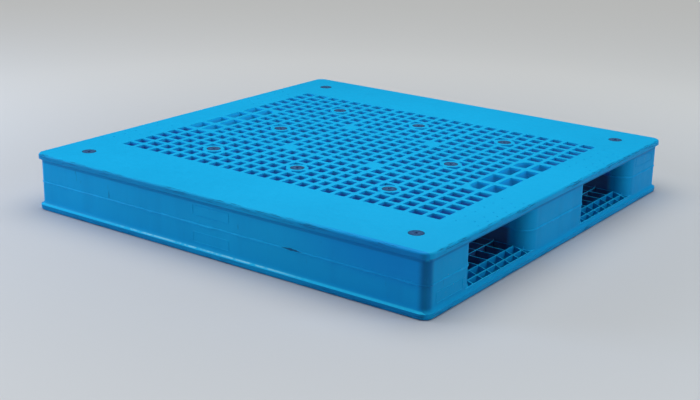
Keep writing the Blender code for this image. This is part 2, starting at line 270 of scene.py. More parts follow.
# Painted shadow under the upper lip
UNDERCUT_SHADE_TOP = (LIP_STRAIGHT, LIP_STRAIGHT + 0.003)
UNDERCUT_SHADE_BOTTOM = (LIP_DEPTH + 0.004, LIP_DEPTH)
# Painted highlight on the lower lip of the long sides
HIGHLIGHT_TOP = (LIP_STRAIGHT - 0.0005, LIP_STRAIGHT)
HIGHLIGHT_BOTTOM = (LIP_STRAIGHT + 0.005, LIP_STRAIGHT + 0.002)
HIGHLIGHT_Y = (WALL, WALL + 0.001)
LINE_MIDDLE = -0.04                         # x of the painted highlight line's middle
LINE_X = (0.34, 0.18)                       # distance from there
LINE_DEPTH = LIP_STRAIGHT + 0.002
LINE_TOP = (LINE_DEPTH - 0.0018, LINE_DEPTH - 0.0006)
LINE_BOTTOM = (LINE_DEPTH + 0.0014, LINE_DEPTH + 0.0003)
LINE_REACH = (WALL - 0.0005, WALL + 0.001)
LINE_Y = (WALL - 0.002, WALL)
LINE_Z = (HALF_HEIGHT, HALF_HEIGHT / 2)
NICK_MIDDLE = 0.234
NICK_HALF = 0.070 / 2
NICK_WIDTH = 0.0022                         # of its upper and of its lower part, at the middle
NICK_RAISED = 0.0006                        # its height over the seam

# Patterns of noise: scale, detail, roughness, and the span of values that fades in
CLOUD = (3.0, 4.0, 0.55, (0.3, 0.7))
MOTTLE = (55.0, 5.0, 0.65, (0.3, 0.7))
BANDS = ((16.0, 16.0, 1.5), 3.0, 0.6, (0.38, 0.7))
DRIPS = ((75.0, 75.0, 13.0), 3.0, 0.6, (0.68, 0.76))
DRAG = ((3.0, 170.0, 40.0), 4.0, 0.7, (0.56, 0.74))
STREAKS = ((22.0, 22.0, 640.0), 4.0, 0.65, (0.50, 0.60))
STREAK_PATCHES = (6.5, 2.0, 0.55, (0.38, 0.56))
GLINT_PATCHES = ((38.0, 38.0, 60.0), 4.0, 0.7, (0.36, 0.56))
SPECK_PATCHES = (9.0, 1.0, 0.55, (0.48, 0.56))
SPECK_SCALE = 62.0
SPECK_SIZE = (0.13, 0.06)
TEAR = (90.0, 2.0, 0.55, (0.2, 0.7))
TEAR_SHARES = (0.55, 1.3)                   # of the nick's width
PLASTIC_GRAIN = (700.0, 2.0)
RUBBER_GRAIN = (900.0, 3.0)
RUBBER_SPECKS = (330.0, 3.0, 0.75, (0.40, 0.62))
RUBBER_TONE = (60.0, 2.0, 0.55, (0.3, 0.7))
RUBBER_RIM = (PLUG_RADIUS - 0.003, PLUG_RADIUS - 0.0012)
RUBBER_HOLLOW_SHADE = (RECESS_RADIUS + 0.002, RECESS_RADIUS)


def depth_z(depth):
    return HALF_HEIGHT - depth


def mesh_object(name, bm):
    bmesh.ops.recalc_face_normals(bm, faces=bm.faces)
    mesh = bpy.data.meshes.new(name)
    bm.to_mesh(mesh)
    bm.free()
    item = bpy.data.objects.new(name, mesh)
    bpy.context.scene.collection.objects.link(item)
    return item


def loft(bm, rings):
    """Closed body through rings of points that have the same count."""
    loops = [[bm.verts.new(point) for point in ring] for ring in rings]
    for lower, upper in zip(loops, loops[1:]):
        for i, start in enumerate(lower):
            j = (i + 1) % len(lower)
            bm.faces.new((start, lower[j], upper[j], upper[i]))
    bm.faces.new(reversed(loops[0]))
    bm.faces.new(loops[-1])


def prism(bm, outline, depth0, depth1):
    loft(bm, [[(x, y, depth_z(depth)) for x, y in outline] for depth in (depth0, depth1)])


def rectangle(x0, x1, y0, y1):
    return (x0, y0), (x1, y0), (x1, y1), (x0, y1)


def rounded_outline(x0, x1, y0, y1, radii, steps):
    """Counterclockwise outline; radii are those of the corners from (x0, y0) round to (x0, y1)."""
    corners = ((x0, y0, 1, 1, 180), (x1, y0, -1, 1, 270), (x1, y1, -1, -1, 0), (x0, y1, 1, -1, 90))
    points = []
    for (x, y, to_x, to_y, start), radius in zip(corners, radii):
        for step in range(steps + 1 if radius else 1):
            angle = math.radians(start + 90 * step / steps)
            points.append((x + to_x * radius + radius * math.cos(angle),
                           y + to_y * radius + radius * math.sin(angle)))
    return points


def circle(x, y, radius, steps):
    angles = [math.tau * (i + 0.5) / steps for i in range(steps)]
    return [(x + radius * math.cos(angle), y + radius * math.sin(angle)) for angle in angles]


def boolean(target, bm, operation="DIFFERENCE"):
    """Apply an exact Boolean of the cutter mesh to the target."""
    cutter = mesh_object("cutter", bm)
    modifier = target.modifiers.new("cut", "BOOLEAN")
    modifier.operation = operation
    modifier.solver = "EXACT"
    modifier.object = cutter
    graph = bpy.context.evaluated_depsgraph_get()
    mesh = bpy.data.meshes.new_from_object(target.evaluated_get(graph))
    target.modifiers.clear()
    target.data = mesh
    bpy.data.objects.remove(cutter, do_unlink=True)


def mirrored(low, high, sign):
    """A span on one side of the middle, as an ordered pair on the side that sign gives."""
    return (low, high) if sign > 0 else (-high, -low)


def bar(bars, index):
    """Place of a bar's centre line, on the side of the middle that the index's sign gives."""
    return math.copysign(bars[abs(index)], index)


def side_cell(cell):
    """Cell number on the positive side that a cell on either side mirrors."""
    return cell if cell >= 0 else -cell - 1


def opening(bars, first, last):
    """Span on the deck face of the opening that takes in cells first to last."""
    if first < 0:
        low, high = opening(bars, -last - 1, -first - 1)
        return -high, -low
    low, high = bars[first] + BAR_HALF, bars[last + 1] - BAR_HALF
    if last + 1 == WIDE_BAR:
        high -= WIDE_BAR_EXTRA
    if last > first:
        low, high = low + LARGE_INSET, high - LARGE_INSET
    return low, high


def deck_cells():
    """Every cell of the deck as (column, first row, last row), joined cells together."""
    for column in range(-LAST_X, LAST_X):
        row = -LAST_Y
        while row < LAST_Y:
            joined = side_cell(column) in LARGE_COLUMNS and -WIDE_BAR <= row < WIDE_BAR
            last = row + 1 if joined else row
            yield column, row, last
            row = last + 1


def plug_crossings():
    """Crossings of bars that carry the inner plugs, as pairs of bar numbers."""
    steps = (-PLUG_BAR, 0, PLUG_BAR)
    return [(i, j) for j in steps for i in steps if (i, j) != (0, 0)]


def corner_arc(radius, steps):
    """Points round a corner, as distances from it along its two sides."""
    angles = [math.radians(180 + 90 * step / steps) for step in range(steps + 1)]
    return [(radius + radius * math.cos(a), radius + radius * math.sin(a)) for a in angles]


def boss_arc(u, v, radius, steps):
    """Points where the round boss on a crossing bites off the corner (u, v) from that crossing."""
    start, end = math.pi / 2 - math.asin(u / radius), math.asin(v / radius)
    angles = [start + (end - start) * step / steps for step in range(steps + 1)]
    return [(radius * math.cos(a) - u, radius * math.sin(a) - v) for a in angles]


def hole_outline(column, first, last, grow):
    """Counterclockwise outline of a cell's hole, made larger all round by grow."""
    x0, x1 = opening(BARS_X, column, column)
    y0, y1 = opening(BARS_Y, first, last)
    x0, x1, y0, y1 = x0 - grow, x1 + grow, y0 - grow, y1 + grow
    corners = ((x0, y0, 1, 1, column, first), (x1, y0, -1, 1, column + 1, first),
               (x1, y1, -1, -1, column + 1, last + 1), (x0, y1, 1, -1, column, last + 1))
    points = []
    for x, y, to_x, to_y, bar_x, bar_y in corners:
        far_row = abs(bar_y) == WIDE_BAR
        if (bar_x, bar_y) in plug_crossings():
            u, v = abs(x - bar(BARS_X, bar_x)), abs(y - bar(BARS_Y, bar_y))
            arc = boss_arc(u, v, BOSS_RADIUS - grow, BOSS_STEPS)
        elif last > first and far_row and abs(bar_x) == LARGE_CORNER_COLUMN:
            arc = corner_arc(LARGE_CORNER + grow, BOSS_STEPS)
        else:
            arc = corner_arc(HOLE_CORNER + grow, HOLE_CORNER_STEPS)
        if to_x * to_y < 0:
            arc.reverse()
        points += [(x + to_x * u, y + to_y * v) for u, v in arc]
    return points


def rounded_rim(depth, radius):
    """(grow, depth) of a hole cutter's rings: straight from the bottom, then flared over the rim."""
    rings = [(0.0, depth)]
    for step in range(RIM_STEPS):
        angle = math.pi / 2 * step / RIM_STEPS
        rings.append((radius * (1 - math.cos(angle)), radius * (1 - math.sin(angle))))
    grow, last_depth = rings[-1]
    rings.append((2 * radius - grow, -last_depth))
    return rings


def moulding_block():
    """The half's outer shape before it is hollowed: the lip on top of a straight wall."""
    profile = []
    for step in range(EDGE_STEPS + 1):
        angle = math.pi / 2 * step / EDGE_STEPS
        profile.append((EDGE_RADIUS * (1 - math.sin(angle)), EDGE_RADIUS * (1 - math.cos(angle))))
    for step in range(FILLET_STEPS + 1):
        angle = math.pi / 2 * step / FILLET_STEPS
        profile.append((LIP_OVERHANG * math.sin(angle),
                        LIP_DEPTH - (LIP_DEPTH - LIP_STRAIGHT) * math.cos(angle)))
    profile.append((LIP_OVERHANG, HALF_HEIGHT - GAP / 2))
    rings = []
    for inset, depth in profile:
        half = SIDE / 2 - inset
        outline = rounded_outline(-half, half, -half, half, [CORNER_RADIUS - inset] * 4, CORNER_STEPS)
        rings.append([(x, y, depth_z(depth)) for x, y in outline])
    bm = bmesh.new()
    loft(bm, rings)
    return mesh_object("half_moulding", bm)


def cut_tunnels(body):
    """Both fork tunnels under the ribs, flared and sloping at their mouths."""
    bm = bmesh.new()
    end_depth = HALF_HEIGHT + OVERSHOOT
    centre = WALL - STRINGER_RADIUS
    sections = [(centre, 0.0, RIB_DEPTH)]
    for step in range(1, STRINGER_STEPS + 1):
        angle = math.pi / 2 * step / STRINGER_STEPS
        reach = math.sin(angle)
        depth = RIB_DEPTH + (MOUTH_DEPTH - RIB_DEPTH) * reach
        sections.append((centre + STRINGER_RADIUS * reach, STRINGER_RADIUS * (1 - math.cos(angle)), depth))
    sections.append((SIDE / 2 + OVERSHOOT, STRINGER_RADIUS, MOUTH_DEPTH))
    sections = [(-x, flare, depth) for x, flare, depth in reversed(sections)] + sections
    for sign in (-1, 1):
        rings = []
        for x, flare, depth in sections:
            y0, y1 = mirrored(TUNNEL_INNER - flare, TUNNEL_OUTER + flare, sign)
            bottom, top = depth_z(end_depth), depth_z(depth)
            rings.append([(x, y0, bottom), (x, y1, bottom), (x, y1, top), (x, y0, top)])
        loft(bm, rings)
    boolean(body, bm)


def cut_stringers(body):
    """Hollows of the stringers, open at the seam, with webs between them."""
    bm = bmesh.new()
    end_depth = HALF_HEIGHT + OVERSHOOT
    inner, side = TUNNEL_INNER - STRINGER_WALL, TUNNEL_OUTER + STRINGER_WALL
    end = WALL - STRINGER_WALL
    stops = list(range(-LAST_X, LAST_X + 1, WEB_STEP))
    beside_tunnel = STRINGER_RADIUS - STRINGER_WALL
    outer_corner = CORNER_RADIUS - LIP_OVERHANG - STRINGER_WALL
    for sign in (-1, 1):
        for first, last in zip(stops, stops[1:]):
            x0, x1 = bar(BARS_X, first) + WEB_HALF, bar(BARS_X, last) - WEB_HALF
            prism(bm, rectangle(x0, x1, *mirrored(WEB_HALF, inner, sign)), RIB_DEPTH, end_depth)
            prism(bm, rectangle(x0, x1, *mirrored(side, end, sign)), SKIN, end_depth)
        for x_sign in (-1, 1):
            x0, x1 = mirrored(BARS_X[-1] + RIB_HALF, end, x_sign)
            for near, far, near_radius, far_radius in ((WEB_HALF, inner, 0.0, beside_tunnel),
                                                       (side, end, beside_tunnel, outer_corner)):
                y0, y1 = mirrored(near, far, sign)
                low, high = (near_radius, far_radius) if sign > 0 else (far_radius, near_radius)
                radii = (0, low, high, 0) if x_sign > 0 else (low, 0, 0, high)
                prism(bm, rounded_outline(x0, x1, y0, y1, radii, STRINGER_STEPS), SKIN, end_depth)
    boolean(body, bm)


def cut_pockets(body):
    """The spaces between the thin ribs under the holes, and the blind ones behind the mouths."""
    bm = bmesh.new()
    end_depth = RIB_DEPTH + OVERSHOOT
    for column, first, last in deck_cells():
        if last > first:
            continue
        x0, x1 = bar(BARS_X, column) + RIB_HALF, bar(BARS_X, column + 1) - RIB_HALF
        y0, y1 = bar(BARS_Y, first) + RIB_HALF, bar(BARS_Y, last + 1) - RIB_HALF
        inner = TUNNEL_INNER - STRINGER_WALL
        if first < WIDE_BAR <= last + 1:
            y1 = inner
        if first <= -WIDE_BAR < last + 1:
            y0 = -inner
        prism(bm, rectangle(x0, x1, y0, y1), COLLAR, end_depth)
    ribs = (BARS_X[-1], *MOUTH_RIBS, WALL - MOUTH_SILL + RIB_HALF)
    for x_sign in (-1, 1):
        for y_sign in (-1, 1):
            for low, high in zip(BARS_Y[WIDE_BAR:], BARS_Y[WIDE_BAR + 1:]):
                y0, y1 = mirrored(low + RIB_HALF, high - RIB_HALF, y_sign)
                for first, last in zip(ribs, ribs[1:]):
                    x0, x1 = mirrored(first + RIB_HALF, last - RIB_HALF, x_sign)
                    prism(bm, rectangle(x0, x1, y0, y1), SKIN, end_depth)
    boolean(body, bm)


def cut_holes(body):
    """The deck's holes, each with a rounded upper edge. The joined cells narrow right down their ribs."""
    plain, tapered = bmesh.new(), bmesh.new()
    for column, first, last in deck_cells():
        if side_cell(column) == side_cell(first) == NARROW_CELL:
            continue
        joined = last > first
        bottom, *rim = rounded_rim((RIB_DEPTH if joined else COLLAR) + OVERSHOOT, HOLE_EDGE)
        taper = LARGE_TAPER if joined else 1.0
        middle = (bar(BARS_X, column) + bar(BARS_X, column + 1)) / 2
        rings = [[(middle + (x - middle) * taper, y, depth_z(bottom[1]))
                  for x, y in hole_outline(column, first, last, bottom[0])]]
        rings += [[(x, y, depth_z(depth)) for x, y in hole_outline(column, first, last, grow)]
                  for grow, depth in rim]
        loft(tapered if joined else plain, rings)
    bmesh.ops.triangulate(tapered, faces=tapered.faces[:])
    boolean(body, plain)
    boolean(body, tapered)


def cut_flare_pockets(body):
    """Small blind pockets in the flares, between the last two cross ribs and the stringer's arc."""
    bm = bmesh.new()
    centre_x = WALL - STRINGER_RADIUS
    clear = STRINGER_RADIUS + FLARE_LAND
    near, far = MOUTH_RIBS[-1] + RIB_HALF, WALL - MOUTH_SILL
    start, end = (math.acos((x - centre_x) / clear) for x in (near, far))
    angles = [start + (end - start) * step / FLARE_STEPS for step in range(FLARE_STEPS + 1)]
    arc = [(centre_x + clear * math.cos(a), clear * math.sin(a)) for a in angles]
    back = STRINGER_RADIUS - RIB_HALF
    sides = ((TUNNEL_INNER - STRINGER_RADIUS, 1), (TUNNEL_OUTER + STRINGER_RADIUS, -1))
    for x_sign in (-1, 1):
        for y_sign in (-1, 1):
            for centre_y, to_tunnel in sides:
                outline = [(x_sign * x, y_sign * (centre_y + to_tunnel * y))
                           for x, y in arc + [(far, back), (near, back)]]
                prism(bm, outline, SKIN, RIB_DEPTH + OVERSHOOT)
    boolean(body, bm)


def add_gussets(body):
    """Curved gussets where the cross ribs by the mouths meet the stringers' walls."""
    bm = bmesh.new()
    into_flare = MOUTH_RIBS[-1] - WALL + STRINGER_RADIUS
    flare = STRINGER_RADIUS - math.sqrt(STRINGER_RADIUS ** 2 - into_flare ** 2)
    ramp = math.sqrt(1 - (1 - flare / STRINGER_RADIUS) ** 2)
    rib_depth = RIB_DEPTH + (MOUTH_DEPTH - RIB_DEPTH) * ramp
    ribs = ((BARS_X[-1], 0.0, RIB_DEPTH, GUSSETS[0]), (MOUTH_RIBS[-1], flare, rib_depth, GUSSETS[1]))
    for x, out, top, radius in ribs:
        profile = [(-OVERSHOOT, top - OVERSHOOT), (radius, top - OVERSHOOT)]
        for step in range(GUSSET_STEPS + 1):
            angle = math.pi / 2 * step / GUSSET_STEPS
            profile.append((radius * (1 - math.sin(angle)), top + radius * (1 - math.cos(angle))))
        profile.append((-OVERSHOOT, top + radius))
        for x_sign in (-1, 1):
            for y_sign in (-1, 1):
                for wall, to_tunnel in ((TUNNEL_INNER - out, 1), (TUNNEL_OUTER + out, -1)):
                    outline = [(y_sign * (wall + to_tunnel * y), depth_z(depth)) for y, depth in profile]
                    loft(bm, [[(x_sign * x + side * GUSSET_HALF, y, z) for y, z in outline]
                              for side in (-1, 1)])
    boolean(body, bm, "UNION")


def add_plates(body):
    """Thin raised outlines of blank plates: one on each long side, one on a stringer's end."""
    bm = bmesh.new()
    top = PLATE_LINE / 3
    section = ((-PLATE_LINE, -GAP), (-top, PLATE_RAISED), (top, PLATE_RAISED), (PLATE_LINE, -GAP))
    places = [(PLATE, lambda along, depth, out: (along, WALL + out, depth_z(depth))),
              (PLATE, lambda along, depth, out: (along, -WALL - out, depth_z(depth))),
              (END_PLATE, lambda along, depth, out: (WALL + out, along, depth_z(depth)))]
    for (start, end, upper, lower), place in places:
        rings = []
        for grow, out in section:
            outline = rounded_outline(start - grow, end + grow, upper - grow, lower + grow,
                                      [PLATE_CORNER + grow] * 4, HOLE_CORNER_STEPS)
            rings.append([bm.verts.new(place(along, depth, out)) for along, depth in outline])
        for inner, outer in zip(rings, rings[1:] + rings[:1]):
            for i, start_vert in enumerate(inner):
                j = (i + 1) % len(inner)
                bm.faces.new((start_vert, inner[j], outer[j], outer[i]))
    boolean(body, bm, "UNION")


def plug_places():
    corners = [(i * CORNER_PLUG, j * CORNER_PLUG) for j in (-1, 1) for i in (-1, 1)]
    inner = [(bar(BARS_X, i), bar(BARS_Y, j)) for i, j in plug_crossings()]
    return corners + inner


def add_plug_seats(body):
    """Round bosses under the crossings, and the socket of every plug, with a rounded rim."""
    bosses, sockets = bmesh.new(), bmesh.new()
    for i, j in plug_crossings():
        outline = circle(bar(BARS_X, i), bar(BARS_Y, j), BOSS_RADIUS - BOSS_STEP, SOCKET_STEPS)
        prism(bosses, outline, SKIN - OVERSHOOT, BOSS_DEPTH)
    for x, y in plug_places():
        rings = []
        for grow, depth in rounded_rim(PLUG_DEPTH + GAP, SOCKET_EDGE):
            outline = circle(x, y, PLUG_RADIUS + GAP + grow, SOCKET_STEPS)
            rings.append([(u, v, depth_z(depth)) for u, v in outline])
        loft(sockets, rings)
    boolean(body, bosses, "UNION")
    boolean(body, sockets)


def cut_grip_dots(body):
    """Shallow round dimples in rows on the plain bands behind the mouths."""
    bm = bmesh.new()
    for x_sign in (-1, 1):
        for number, column in enumerate(DOT_COLUMNS):
            shift = DOT_SHIFTS[number % 2]
            for y_sign in (-1, 1):
                for low, high in zip(BARS_Y[WIDE_BAR:], BARS_Y[WIDE_BAR + 1:]):
                    y = low + shift * (high - low)
                    if y < BARS_Y[-1]:
                        dot = circle(x_sign * column, y_sign * y, DOT_RADIUS, DOT_STEPS)
                        prism(bm, dot, -OVERSHOOT, DOT_DEPTH)
    boolean(body, bm)


def finish_mesh(item):
    """Smooth shading over the curves, with flat faces kept flat."""
    item.data.shade_smooth()
    item.data.set_sharp_from_angle(angle=math.radians(SHARP_ANGLE))
    modifier = item.modifiers.new("flat_faces", "WEIGHTED_NORMAL")
    modifier.keep_sharp = True
    modifier.weight = FLAT_WEIGHT


def half_moulding():
    body = moulding_block()
    cut_tunnels(body)
    cut_stringers(body)
    cut_pockets(body)
    cut_flare_pockets(body)
    cut_holes(body)
    add_gussets(body)
    add_plates(body)
    add_plug_seats(body)
    cut_grip_dots(body)
    return body


def plug_body():
    """Rubber plug with a rounded rim and a small hollow in the middle of its face, which is on z = 0."""
    slant, slant_depth = RECESS_EDGE
    profile = [(0.0, -RECESS_DEPTH), (RECESS_RADIUS * RECESS_FLOOR, -RECESS_DEPTH),
               (RECESS_RADIUS, -RECESS_DEPTH * RECESS_WALL), (RECESS_RADIUS, -slant_depth),
               (RECESS_RADIUS + slant, 0.0)]
    for step in range(PLUG_EDGE_STEPS + 1):
        angle = math.pi / 2 * step / PLUG_EDGE_STEPS
        profile.append((PLUG_RADIUS - PLUG_EDGE * (1 - math.sin(angle)),
                        -PLUG_EDGE * (1 - math.cos(angle))))
    profile.append((PLUG_RADIUS, -PLUG_DEPTH))
    bm = bmesh.new()
    centre = bm.verts.new((0.0, 0.0, profile[0][1]))
    rings = []
    for radius, z in profile[1:]:
        rings.append([bm.verts.new((x, y, z)) for x, y in circle(0, 0, radius, SOCKET_STEPS)])
    for i in range(SOCKET_STEPS):
        j = (i + 1) % SOCKET_STEPS
        bm.faces.new((centre, rings[0][i], rings[0][j]))
        for inner, outer in zip(rings, rings[1:]):
            bm.faces.new((inner[i], outer[i], outer[j], inner[j]))
    bm.faces.new(rings[-1])
    return mesh_object("grip_plug", bm)


def uneven(place, layers):
    """Sum of layers of noise at a place."""
    return sum(share * noise.noise(place * scale + Vector(shift)) for scale, shift, share in layers)


def weld_bead(y0, y1, radii):
    """Uneven bead of melted plastic round one stringer, on the seam."""
    outline = [Vector(p) for p in rounded_outline(-WALL, WALL, y0, y1, radii, STRINGER_STEPS)]
    path = []
    for start, end in zip(outline, outline[1:] + outline[:1]):
        count = max(1, round((end - start).length / BEAD_STEP))
        path += [start.lerp(end, step / count) for step in range(count)]
    rings = []
    for i, point in enumerate(path):
        along = (path[(i + 1) % len(path)] - path[i - 1]).normalized()
        out = Vector((along.y, -along.x))
        at = Vector((*point, 0.0)) * BEAD_WAVES
        swell = 1 + uneven(at, BEAD_SWELL)
        lift = BEAD_HALF * uneven(at, BEAD_LIFT)
        rings.append([(*(point + out * (BEAD_REACH * swell * reach - BEAD_SUNK)),
                       lift + BEAD_HALF * swell * rise) for reach, rise in BEAD_PROFILE])
    bm = bmesh.new()
    loops = [[bm.verts.new(p) for p in ring] for ring in rings]
    for i, loop in enumerate(loops):
        after = loops[(i + 1) % len(loops)]
        for k, start in enumerate(loop):
            m = (k + 1) % len(loop)
            bm.faces.new((start, loop[m], after[m], after[k]))
    return mesh_object("bead", bm)


RANGE_SOCKETS = ("From Min", "From Max", "To Min", "To Max")


class Graph:
    """Small helper that adds shader nodes and joins them."""

    def __init__(self, name):
        self.material = bpy.data.materials.new(name)
        self.material.use_nodes = True
        self.nodes = self.material.node_tree.nodes
        self.links = self.material.node_tree.links
        self.shader = self.nodes["Principled BSDF"]
        geometry = self.nodes.new("ShaderNodeNewGeometry")
        self.place, self.normal = geometry.outputs["Position"], geometry.outputs["Normal"]

    def put(self, value, socket):
        if isinstance(value, bpy.types.NodeSocket):
            self.links.new(value, socket)
        else:
            socket.default_value = value

    def axes(self, vector):
        node = self.nodes.new("ShaderNodeSeparateXYZ")
        self.put(vector, node.inputs[0])
        return node.outputs

    def math(self, operation, first, second=0.0):
        node = self.nodes.new("ShaderNodeMath")
        node.operation = operation
        for value, socket in zip((first, second), node.inputs):
            self.put(value, socket)
        return node.outputs[0]

    def size(self, value):
        """The value without its sign."""
        return self.math("ABSOLUTE", value)

    def minus(self, first, second):
        return self.math("SUBTRACT", first, second)

    def times(self, first, *others):
        for other in others:
            first = self.math("MULTIPLY", first, other)
        return first

    def noise(self, scale, detail, rough=0.55):
        """Noise of one scale, or of a tuple with one for each axis."""
        place = self.place
        if isinstance(scale, tuple):
            stretch = self.nodes.new("ShaderNodeVectorMath")
            stretch.operation = "MULTIPLY"
            self.put(place, stretch.inputs[0])
            stretch.inputs[1].default_value = scale
            place, scale = stretch.outputs[0], 1.0
        node = self.nodes.new("ShaderNodeTexNoise")
        self.put(place, node.inputs["Vector"])
        node.inputs["Scale"].default_value = scale
        node.inputs["Detail"].default_value = detail
        node.inputs["Roughness"].default_value = rough
        return node.outputs["Fac"]

    def fade(self, value, span, amounts=(0.0, 1.0)):
        """Smooth change from one amount to the other over a span of the value."""
        node = self.nodes.new("ShaderNodeMapRange")
        node.interpolation_type = "SMOOTHSTEP"
        self.put(value, node.inputs["Value"])
        for name, number in zip(RANGE_SOCKETS, (*span, *amounts)):
            node.inputs[name].default_value = number
        return node.outputs["Result"]

    def pattern(self, scale, detail, rough, span, amounts=(0.0, 1.0)):
        """Noise that fades in over a span of its values."""
        return self.fade(self.noise(scale, detail, rough), span, amounts)

    def mix(self, factor, first, second):
        node = self.nodes.new("ShaderNodeMix")
        node.data_type = "RGBA"
        self.put(factor, node.inputs["Factor"])
        for value, socket in ((first, node.inputs["A"]), (second, node.inputs["B"])):
            self.put(value if isinstance(value, bpy.types.NodeSocket) else (*value, 1.0), socket)
        return node.outputs["Result"]

    def tint(self, base, colour, *masks, share=1.0):
        """The base with a share of another colour where all the masks are."""
        factors = masks if share == 1.0 else (*masks, share)
        return self.mix(self.times(*factors), base, colour)

    def bump(self, height, strength, distance, normal=None):
        node = self.nodes.new("ShaderNodeBump")
        self.put(height, node.inputs["Height"])
        node.inputs["Strength"].default_value = strength
        node.inputs["Distance"].default_value = distance
        if normal:
            self.put(normal, node.inputs["Normal"])
        return node.outputs["Normal"]


class PalletGraph(Graph):
    """Graph with the measures that tell where on the pallet a point is."""

    def __init__(self, name):
        super().__init__(name)
        self.x, self.y, self.z = self.axes(self.place)
        self.size_x, self.size_y = self.size(self.x), self.size(self.y)
        self.reach = self.math("MAXIMUM", self.size_x, self.size_y)
        self.depth = self.minus(HALF_HEIGHT, self.size(self.minus(self.z, HALF_HEIGHT)))
        self.upper = self.fade(self.z, SEAM_Z)
        self.lower = self.minus(1.0, self.upper)
        self.front = self.fade(self.y, FRONT_Y)
        self.at_wall = self.fade(self.reach, WALL_REACH)
        self.on_wall = self.times(self.fade(self.depth, WALL_DEPTH), self.at_wall)


def tint_inside(g, base):
    """Painted light and shade in the holes and the tunnels: lighter walls under the holes' rims and deeper
    in the joined cells, painted shade deeper in the other holes, deep inside and in the lower half.
    """
    inside = g.fade(g.reach, HOLES_REACH)
    # Painted light on the walls under the holes' rims
    base = g.tint(base, LIT_HOLE_BLUE, inside, g.fade(g.depth, RIM_DEPTH))
    # Deeper in: painted light in the joined cells, painted shade in the other holes and in the lower half
    joined = g.times(g.fade(g.size_x, JOINED_X), g.fade(g.size_y, JOINED_Y))
    core = g.mix(g.lower, g.mix(joined, SHADED_HOLE_BLUE, LIT_JOINED_BLUE), SHADED_INNER_BLUE)
    base = g.tint(base, core, inside, g.fade(g.depth, CORE_DEPTH))
    # Painted shade deep inside
    deep = g.math("MAXIMUM", g.fade(g.depth, RIB_FOOT_DEPTH),
                  g.times(g.lower, g.fade(g.depth, LOWER_INNER_DEPTH)))
    base = g.tint(base, SHADED_INNER_BLUE, g.fade(g.reach, INNER_REACH), deep)

    # The ends of the lower half's ribs, which face up in the tunnels: painted shade further in, and a
    # painted highlight where they face up by the mouths
    ledge = g.fade(g.size(g.minus(g.depth, RIB_DEPTH)), LEDGE_SPAN)
    base = g.tint(base, BLUE_DEEP, ledge, inside, g.lower, share=0.6)
    rises = g.fade(g.axes(g.normal)[2], TREAD_NORMAL)
    by_mouth = g.times(g.fade(g.depth, TREAD_DEPTH), g.fade(g.reach, TREAD_REACH))
    return g.tint(base, HIGHLIGHT, rises, g.lower, by_mouth, share=0.9)


def tint_walls(g, base):
    """Bands and drips on the walls, with painted shade on the front side and on one corner."""
    # Faint upright bands where the ribs behind the walls shrank
    base = g.tint(base, BLUE_DEEP, g.pattern(*BANDS), g.on_wall, share=0.28)
    base = g.tint(base, SCUFF, g.pattern(*DRIPS), g.on_wall, share=0.35)

    # Painted shade: the front side is darker and bluer towards +X
    front_shade = g.times(g.front, g.fade(g.x, FRONT_SHADE_X))
    base = g.tint(base, FRONT_SHADE_BLUE, front_shade, g.fade(g.z, LOW_TO_HIGH_Z, FRONT_SHADE_SHARES))

    # Painted shade on the rounded corner between the front side and the +X side
    corner = g.times(g.fade(g.minus(g.x, g.y), CORNER_SHADE_SPAN), g.fade(g.depth, CORNER_SHADE_DEPTH))
    return g.tint(base, SHADOW_BLUE, corner, g.fade(g.z, LOW_TO_HIGH_Z, CORNER_SHADE_SHARES))


def scuff_mask(g):
    """Scuffs on the rolled edge and on the lip."""
    edge = g.times(g.fade(g.reach, EDGE_REACH), g.fade(g.depth, EDGE_DEPTH))
    return g.times(g.pattern(*STREAKS), g.pattern(*STREAK_PATCHES), edge)


def glint_line_mask(g):
    """Painted highlight: a thin pale line along the lower lip of both long sides."""
    line = g.times(g.fade(g.depth, LINE_TOP), g.fade(g.depth, LINE_BOTTOM))
    along = g.fade(g.size(g.minus(g.x, LINE_MIDDLE)), LINE_X)
    line = g.times(line, along, g.fade(g.reach, LINE_REACH), g.fade(g.z, LINE_Z))
    return g.times(line, g.fade(g.size_y, LINE_Y), g.pattern(*GLINT_PATCHES))


def tint_lips(g, base):
    """Painted shade on the lips' faces and under the upper lip, and a painted highlight on the lower lip.
    """
    # Painted shade: the lips of the long sides are darker, most of all towards the corners
    lip_shade = g.times(g.fade(g.depth, LIP_SHADE_TOP), g.fade(g.depth, LIP_SHADE_BOTTOM))
    from_least = g.size(g.minus(g.x, LIP_SHADE_LEAST))
    base = g.tint(base, SHADOW_BLUE, lip_shade, g.fade(g.size_y, LIP_SHADE_Y),
                  g.fade(from_least, LIP_SHADE_X, LIP_SHADE_SHARES))

    # Painted shadow under the upper lip
    undercut_shade = g.times(g.fade(g.depth, UNDERCUT_SHADE_TOP), g.fade(g.depth, UNDERCUT_SHADE_BOTTOM))
    base = g.tint(base, SHADOW_BLUE, undercut_shade, g.at_wall, g.upper, share=0.5)

    # Painted highlight on the lower lip of the long sides, where it faces up
    lip_highlight_mask = g.times(g.fade(g.depth, HIGHLIGHT_TOP), g.fade(g.depth, HIGHLIGHT_BOTTOM))
    return g.tint(base, HIGHLIGHT, lip_highlight_mask, g.lower, g.fade(g.size_y, HIGHLIGHT_Y), share=0.9)


def tint_specks(g, base):
    """Small pale specks on the stringers' ends, which are the walls of the -X and +X sides."""
    node = g.nodes.new("ShaderNodeTexVoronoi")
    node.inputs["Scale"].default_value = SPECK_SCALE
    g.put(g.place, node.inputs["Vector"])
    speck = g.times(g.fade(node.outputs["Distance"], SPECK_SIZE), g.pattern(*SPECK_PATCHES))
    return g.tint(base, SPECK, speck, g.on_wall, g.fade(g.size_x, ENDS_X), share=0.6)


